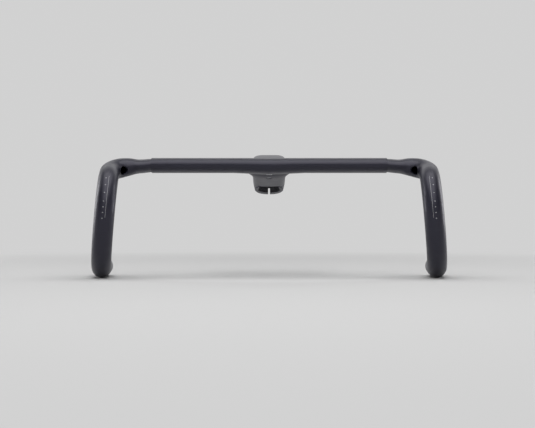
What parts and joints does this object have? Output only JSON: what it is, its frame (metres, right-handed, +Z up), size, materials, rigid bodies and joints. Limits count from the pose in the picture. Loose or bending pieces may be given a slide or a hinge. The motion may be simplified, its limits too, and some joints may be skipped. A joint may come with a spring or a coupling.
{
  "type": "integrated handlebar",
  "caption": "One-piece drop handlebar and stem moulding with a slit steerer clamp, flat tops, flared hooks and hose ports.",
  "frame": {"origin": "on the steerer axis, on the lower face of the clamp", "axes": "+X to the rider's left, -Y the way the bar faces, +Z up as it stands on its two drops"},
  "size_m": [0.4408, 0.2186, 0.1538],
  "materials": {
    "carbon": "satin black lacquer on carbon fibre",
    "black_steel": "black oxide steel",
    "insert_metal": "plain turned aluminium"
  },
  "bodies": {
    "root": {"handlebar_body": "carbon", "clamp_bolts": "black_steel", "clamp_washers": "black_steel", "clamp_nuts": "black_steel", "mount_inserts": "insert_metal"}
  },
  "joints": []
}
